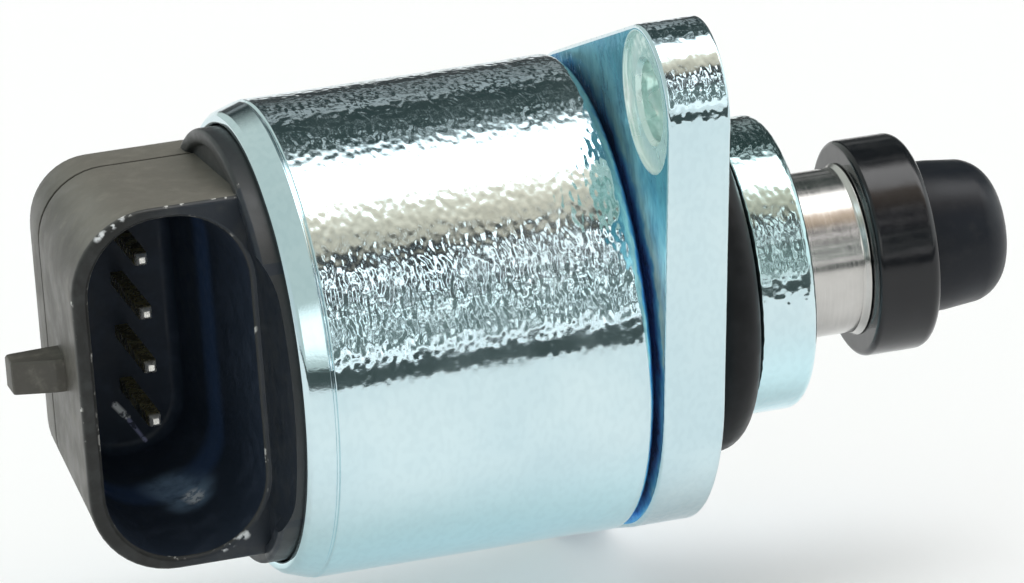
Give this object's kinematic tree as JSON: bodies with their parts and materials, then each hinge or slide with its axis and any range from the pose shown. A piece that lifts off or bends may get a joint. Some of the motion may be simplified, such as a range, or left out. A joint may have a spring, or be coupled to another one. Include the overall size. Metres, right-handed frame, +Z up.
{
  "type": "idle air control valve",
  "caption": "Idle air control valve: drawn can with a side-facing oval connector, two-ear flange, O-ring nose and a sliding pintle.",
  "frame": {"origin": "centre of the flange's mounting face, on the motor axis", "axes": "+X along the motor axis towards the pintle, -Y the way the connector's socket opens, +Z up"},
  "size_m": [0.0706, 0.0426, 0.0462],
  "materials": {
    "zinc_steel": "clear blue zinc plate",
    "bright_steel": "ground",
    "pole_steel": "plain",
    "black_plastic": "moulded",
    "collar_plastic": "glossy",
    "tip_plastic": "satin",
    "natural_plastic": "moulded",
    "terminal_brass": "plated",
    "copper_wire": "enamelled copper",
    "black_rubber": "moulded",
    "brown_rubber": "moulded",
    "magnet": "sintered ferrite",
    "bush_bronze": "sintered"
  },
  "bodies": {
    "housing": {"can": "zinc_steel", "flange_nose": "zinc_steel", "nose_o_ring": "black_rubber", "rear_cap": "black_plastic", "cap_seal": "brown_rubber", "terminal_pins": "terminal_brass", "stator_spacer": "natural_plastic", "front_pole_cup": "pole_steel", "front_pole_plate": "pole_steel", "front_bobbin": "black_plastic", "front_winding": "copper_wire", "rear_pole_cup": "pole_steel", "rear_pole_plate": "pole_steel", "rear_bobbin": "black_plastic", "rear_winding": "copper_wire", "bearing_outer_race": "bright_steel", "guide_plate": "natural_plastic", "thrust_washer": "bright_steel", "rear_bush": "bush_bronze", "stem_wiper": "black_rubber", "return_spring": "bright_steel"},
    "ball_set": {"bearing_balls": "bright_steel", "bearing_cage": "terminal_brass"},
    "rotor": {"rotor_magnet": "magnet", "rotor_nut": "natural_plastic", "bearing_inner_race": "bright_steel"},
    "pintle": {"lead_screw": "bright_steel", "stem_sleeve": "bright_steel", "valve_collar": "collar_plastic", "pintle_tip": "tip_plastic"}
  },
  "joints": [
    {"name": "rotor_spin", "type": "hinge", "parent": "housing", "child": "rotor", "pos_m": [-0.018, 0, 0], "axis": [1, 0, 0], "range_deg": [-936, 954]},
    {"name": "ball_spin", "type": "hinge", "parent": "housing", "child": "ball_set", "pos_m": [-0.0083, 0, 0], "axis": [1, 0, 0], "range_deg": [-390, 390]},
    {"name": "pintle_slide", "type": "slide", "parent": "housing", "child": "pintle", "axis": [1, 0, 0], "range_m": [-0.0053, 0.0053], "deforming": ["return_spring"]}
  ],
  "couplings": [
    {"joint": "pintle_slide", "follows": "rotor_spin", "m_per_rad": 0.00031831},
    {"joint": "ball_spin", "follows": "rotor_spin", "ratio": 0.4}
  ]
}
